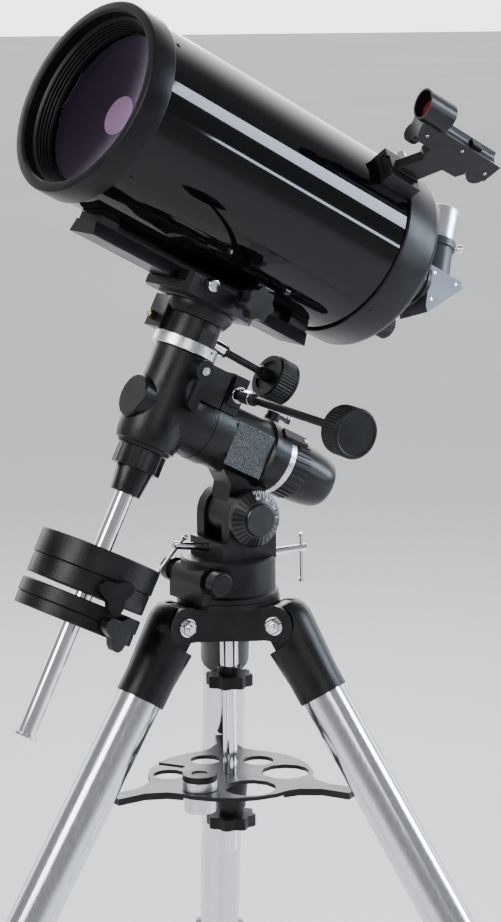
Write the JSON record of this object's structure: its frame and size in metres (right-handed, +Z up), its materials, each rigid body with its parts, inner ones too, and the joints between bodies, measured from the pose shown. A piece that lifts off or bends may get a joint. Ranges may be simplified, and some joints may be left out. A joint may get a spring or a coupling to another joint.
{
  "type": "maksutov telescope on equatorial mount",
  "caption": "Short closed-tube telescope with lens front and mirror back on a tilted two-axis mount with sliding counterweights, carried by a folding steel tripod with a tray",
  "frame": {"origin": "centre of the bounding box footprint, on the floor under the feet", "axes": "+Z up, -X toward the north leg, under the front lens; +Y away from the dial side; +X toward the eyepiece end"},
  "size_m": [0.8268, 0.8864, 1.3117],
  "materials": {
    "satin_black": "satin black powder coat on aluminium castings",
    "weight_black": "satin black paint on cast iron",
    "gloss_black": "deep gloss black enamel on an aluminium tube",
    "black_plastic": "moulded black plastic",
    "chrome": "polished chrome plate",
    "steel_tube": "polished steel tube",
    "silver": "satin silver aluminium",
    "mirror_coat": "silvered glass",
    "lens_glass": "coated optical glass with a violet sheen"
  },
  "bodies": {
    "stand": {"tripod_hub": "satin_black", "spreader_rod": "chrome"},
    "lock_knob": {"mount_lock_knob": "black_plastic"},
    "tray": {"accessory_tray": "satin_black"},
    "tray_knob": {"tray_knob": "black_plastic"},
    "spare": {"spare_eyepiece": "silver"},
    "leg_north": {"leg_top_north": "satin_black", "leg_upper_tube_north": "steel_tube"},
    "leg_clamp_north": {"leg_clamp_knob_north": "black_plastic"},
    "leg_slider_north": {"leg_inner_tube_north": "steel_tube"},
    "leg_near": {"leg_top_near": "satin_black", "leg_upper_tube_near": "steel_tube"},
    "leg_clamp_near": {"leg_clamp_knob_near": "black_plastic"},
    "leg_slider_near": {"leg_inner_tube_near": "steel_tube"},
    "leg_far": {"leg_top_far": "satin_black", "leg_upper_tube_far": "steel_tube"},
    "leg_clamp_far": {"leg_clamp_knob_far": "black_plastic"},
    "leg_slider_far": {"leg_inner_tube_far": "steel_tube"},
    "azimuth_base": {"azimuth_fork": "satin_black", "latitude_dial": "satin_black"},
    "azimuth_screw_near": {"azimuth_screw_near": "black_plastic"},
    "azimuth_screw_far": {"azimuth_screw_far": "black_plastic"},
    "polar_body": {"polar_housing": "satin_black"},
    "latitude_screw_north": {"latitude_screw_north": "chrome"},
    "latitude_screw_south": {"latitude_screw_south": "chrome"},
    "declination_body": {"declination_housing": "satin_black", "counterweight_shaft": "chrome"},
    "polar_control": {"ra_control": "black_plastic"},
    "polar_circle": {"ra_setting_circle": "silver"},
    "polar_cover": {"polar_scope_cover": "black_plastic"},
    "polar_clutch": {"ra_clutch_lever": "black_plastic"},
    "end_cap": {"polar_end_cap": "black_plastic"},
    "declination_clutch": {"dec_clutch_lever": "black_plastic"},
    "lock_nut": {"shaft_lock_nut": "black_plastic"},
    "weight_upper": {"counterweight_upper": "weight_black"},
    "weight_knob_upper": {"counterweight_knob_upper": "black_plastic"},
    "weight_lower": {"counterweight_lower": "weight_black"},
    "weight_knob_lower": {"counterweight_knob_lower": "black_plastic"},
    "declination_circle": {"dec_setting_circle": "silver"},
    "declination_head": {"dec_neck": "satin_black", "dovetail_saddle": "satin_black"},
    "declination_control": {"dec_control": "black_plastic"},
    "saddle_knob": {"saddle_clamp_knob": "black_plastic"},
    "safety_screw": {"saddle_safety_screw": "chrome"},
    "tube": {"optical_tube": "gloss_black", "front_cell": "satin_black", "meniscus_lens": "lens_glass", "rear_cell": "satin_black", "visual_back": "satin_black", "dovetail_bar": "satin_black", "finder_shoe": "black_plastic"},
    "mirror": {"primary_mirror": "mirror_coat"},
    "focuser": {"focus_knob": "black_plastic"},
    "diagonal": {"star_diagonal": "black_plastic"},
    "thumbscrew": {"diagonal_thumbscrew": "chrome"},
    "eyepiece": {"eyepiece": "silver"},
    "shoe_screw": {"finder_shoe_screw": "chrome"},
    "finder": {"finder_bracket": "black_plastic", "finder_body": "black_plastic"},
    "finder_wheel": {"finder_adjust_wheel": "black_plastic"}
  },
  "joints": [
    {"name": "lock_knob_turn", "type": "hinge", "parent": "stand", "child": "lock_knob", "pos_m": [0.09538, 0, 0.64286], "axis": [0, 0, 1], "continuous": true},
    {"name": "leg_fold_north", "type": "hinge", "parent": "stand", "child": "leg_north", "pos_m": [0.03448, 0, 0.70636], "axis": [0, -1, 0], "range_deg": [-2.8, 0]},
    {"name": "leg_extend_north", "type": "slide", "parent": "leg_north", "child": "leg_slider_north", "axis": [-0.5299, 0, -0.848], "range_m": [-0.18, 0.2]},
    {"name": "leg_clamp_turn_north", "type": "hinge", "parent": "leg_north", "child": "leg_clamp_north", "pos_m": [-0.26652, 0, 0.22467], "axis": [-0.848, 0, 0.5299], "range_deg": [-30, 330]},
    {"name": "leg_fold_near", "type": "hinge", "parent": "stand", "child": "leg_near", "pos_m": [0.12583, -0.05274, 0.70636], "axis": [0.866, 0.5, 0], "range_deg": [-2.8, 0]},
    {"name": "leg_extend_near", "type": "slide", "parent": "leg_near", "child": "leg_slider_near", "axis": [0.265, -0.4589, -0.848], "range_m": [-0.18, 0.2]},
    {"name": "leg_clamp_turn_near", "type": "hinge", "parent": "leg_near", "child": "leg_clamp_near", "pos_m": [0.27632, -0.31341, 0.22467], "axis": [0.424, -0.7344, 0.5299], "range_deg": [-30, 330]},
    {"name": "leg_fold_far", "type": "hinge", "parent": "stand", "child": "leg_far", "pos_m": [0.12583, 0.05274, 0.70636], "axis": [-0.866, 0.5, 0], "range_deg": [-2.8, 0]},
    {"name": "leg_extend_far", "type": "slide", "parent": "leg_far", "child": "leg_slider_far", "axis": [0.265, 0.4589, -0.848], "range_m": [-0.18, 0.2]},
    {"name": "leg_clamp_turn_far", "type": "hinge", "parent": "leg_far", "child": "leg_clamp_far", "pos_m": [0.27632, 0.31341, 0.22467], "axis": [0.424, 0.7344, 0.5299], "range_deg": [-30, 330]},
    {"name": "tray_lower", "type": "slide", "parent": "stand", "child": "tray", "axis": [0, 0, 1], "range_m": [-0.02, 0]},
    {"name": "tray_knob_turn", "type": "hinge", "parent": "tray", "child": "tray_knob", "pos_m": [0.09538, 0, 0.49286], "axis": [0, 0, 1], "continuous": true},
    {"name": "spare_eyepiece_lift", "type": "slide", "parent": "tray", "child": "spare", "axis": [0, 0, 1], "range_m": [0, 0.06]},
    {"name": "azimuth_turn", "type": "hinge", "parent": "stand", "child": "azimuth_base", "pos_m": [0.09538, 0, 0.74286], "axis": [0, 0, 1], "range_deg": [-6, 6]},
    {"name": "azimuth_screw_near_travel", "type": "slide", "parent": "azimuth_base", "child": "azimuth_screw_near", "axis": [0, 1, 0], "range_m": [-0.0041, 0.0041]},
    {"name": "azimuth_screw_far_travel", "type": "slide", "parent": "azimuth_base", "child": "azimuth_screw_far", "axis": [0, 1, 0], "range_m": [-0.0041, 0.0041]},
    {"name": "latitude_tilt", "type": "hinge", "parent": "azimuth_base", "child": "polar_body", "pos_m": [0.10568, 0, 0.80886], "axis": [0, 1, 0], "range_deg": [-6, 12]},
    {"name": "latitude_screw_north_travel", "type": "slide", "parent": "azimuth_base", "child": "latitude_screw_north", "axis": [-0.9833, 0, 0.1822], "range_m": [-0.005, 0.009]},
    {"name": "latitude_screw_south_travel", "type": "slide", "parent": "azimuth_base", "child": "latitude_screw_south", "axis": [-1, 0, 0], "range_m": [-0.006, 0.011]},
    {"name": "right_ascension", "type": "hinge", "parent": "polar_body", "child": "declination_body", "pos_m": [0.01988, 0, 0.92386], "axis": [-0.8886, 0, 0.4587], "range_deg": [-20, 80]},
    {"name": "polar_control_turn", "type": "hinge", "parent": "polar_body", "child": "polar_control", "pos_m": [0.08799, -0.04, 0.93372], "axis": [-0.024, -0.9986, -0.0465], "range_deg": [-2700, 10500]},
    {"name": "polar_circle_turn", "type": "hinge", "parent": "polar_body", "child": "polar_circle", "pos_m": [0.14962, 0, 0.8569], "axis": [0.8886, 0, -0.4587], "continuous": true},
    {"name": "polar_cover_pull", "type": "slide", "parent": "polar_body", "child": "polar_cover", "axis": [0.8886, 0, -0.4587], "range_m": [0, 0.03]},
    {"name": "polar_clutch_turn", "type": "hinge", "parent": "polar_body", "child": "polar_clutch", "pos_m": [0.15913, 0.012, 0.9015], "axis": [0.4587, 0, 0.8886], "range_deg": [-40, 30]},
    {"name": "end_cap_pull", "type": "slide", "parent": "declination_body", "child": "end_cap", "axis": [-0.8886, 0, 0.4587], "range_m": [0, 0.02]},
    {"name": "declination_clutch_turn", "type": "hinge", "parent": "declination_body", "child": "declination_clutch", "pos_m": [0.0472, -0.038, 0.96152], "axis": [0, 1, 0], "range_deg": [-40, 40]},
    {"name": "lock_nut_turn", "type": "hinge", "parent": "declination_body", "child": "lock_nut", "pos_m": [-0.00764, 0, 0.87054], "axis": [0.4587, 0, 0.8886], "continuous": true},
    {"name": "weight_upper_slide", "type": "slide", "parent": "declination_body", "child": "weight_upper", "axis": [0.4587, 0, 0.8886], "range_m": [0, 0.05]},
    {"name": "weight_upper_knob_turn", "type": "hinge", "parent": "weight_upper", "child": "weight_knob_upper", "pos_m": [-0.07251, -0.06444, 0.76336], "axis": [-0.116, -0.9914, 0.0599], "range_deg": [-8, 15]},
    {"name": "weight_lower_slide", "type": "slide", "parent": "declination_body", "child": "weight_lower", "axis": [0.4587, 0, 0.8886], "range_m": [-0.105, 0]},
    {"name": "weight_lower_knob_turn", "type": "hinge", "parent": "weight_lower", "child": "weight_knob_lower", "pos_m": [-0.07165, -0.06444, 0.72803], "axis": [0.116, -0.9914, -0.0599], "range_deg": [-8, 15]},
    {"name": "declination_circle_turn", "type": "hinge", "parent": "declination_body", "child": "declination_circle", "pos_m": [0.04877, 0, 0.97984], "axis": [0.4587, 0, 0.8886], "continuous": true},
    {"name": "declination", "type": "hinge", "parent": "declination_body", "child": "declination_head", "pos_m": [0.06116, 0, 1.00383], "axis": [0.4587, 0, 0.8886], "continuous": true},
    {"name": "declination_control_turn", "type": "hinge", "parent": "declination_head", "child": "declination_control", "pos_m": [0.08991, 0.024, 0.97887], "axis": [0.8686, 0, -0.4955], "continuous": true},
    {"name": "saddle_knob_turn", "type": "hinge", "parent": "declination_head", "child": "saddle_knob", "pos_m": [0.08683, -0.06936, 1.02659], "axis": [-0.0558, 0.998, 0.0288], "range_deg": [-60, 300]},
    {"name": "safety_screw_turn", "type": "hinge", "parent": "declination_head", "child": "safety_screw", "pos_m": [0.05262, -0.04673, 1.04425], "axis": [-0.0558, 0.998, 0.0288], "continuous": true},
    {"name": "tube_balance_slide", "type": "slide", "parent": "declination_head", "child": "tube", "axis": [0.8869, 0.0628, -0.4577], "range_m": [-0.03, 0.03]},
    {"name": "mirror_focus", "type": "slide", "parent": "tube", "child": "mirror", "axis": [0.8869, 0.0628, -0.4577], "range_m": [-0.005, 0.005]},
    {"name": "focus_knob_turn", "type": "hinge", "parent": "tube", "child": "focuser", "pos_m": [0.27734, -0.0114, 0.98419], "axis": [0.8869, 0.0628, -0.4577], "range_deg": [-2420, 2420]},
    {"name": "diagonal_turn", "type": "hinge", "parent": "tube", "child": "diagonal", "pos_m": [0.33808, 0.01507, 1.01812], "axis": [0.8869, 0.0628, -0.4577], "range_deg": [-60, 60]},
    {"name": "thumbscrew_turn", "type": "hinge", "parent": "diagonal", "child": "thumbscrew", "pos_m": [0.38027, 0.03492, 1.05344], "axis": [0.7914, -0.5937, -0.146], "continuous": true},
    {"name": "eyepiece_pull", "type": "slide", "parent": "diagonal", "child": "eyepiece", "axis": [0.4119, 0.3413, 0.8449], "range_m": [0, 0.03]},
    {"name": "shoe_screw_turn", "type": "hinge", "parent": "tube", "child": "shoe_screw", "pos_m": [0.27447, -0.04764, 1.1528], "axis": [0.2849, 0.7057, 0.6487], "continuous": true},
    {"name": "finder_slide", "type": "slide", "parent": "tube", "child": "finder", "axis": [0.8869, 0.0628, -0.4577], "range_m": [-0.002, 0.03]},
    {"name": "finder_wheel_turn", "type": "hinge", "parent": "finder", "child": "finder_wheel", "pos_m": [0.32843, -0.0946, 1.14166], "axis": [0.2849, 0.7057, 0.6487], "continuous": true}
  ],
  "couplings": [
    {"joint": "leg_fold_near", "follows": "leg_fold_north", "ratio": 1},
    {"joint": "leg_fold_far", "follows": "leg_fold_north", "ratio": 1},
    {"joint": "tray_lower", "follows": "leg_fold_north", "m_per_rad": 0.4},
    {"joint": "azimuth_screw_near_travel", "follows": "azimuth_turn", "m_per_rad": 0.038},
    {"joint": "azimuth_screw_far_travel", "follows": "azimuth_turn", "m_per_rad": 0.038},
    {"joint": "latitude_screw_north_travel", "follows": "latitude_tilt", "m_per_rad": 0.036},
    {"joint": "latitude_screw_south_travel", "follows": "latitude_tilt", "m_per_rad": 0.046},
    {"joint": "polar_control_turn", "follows": "right_ascension", "ratio": 130},
    {"joint": "declination_control_turn", "follows": "declination", "ratio": 65},
    {"joint": "focus_knob_turn", "follows": "mirror_focus", "rad_per_m": 8378}
  ]
}
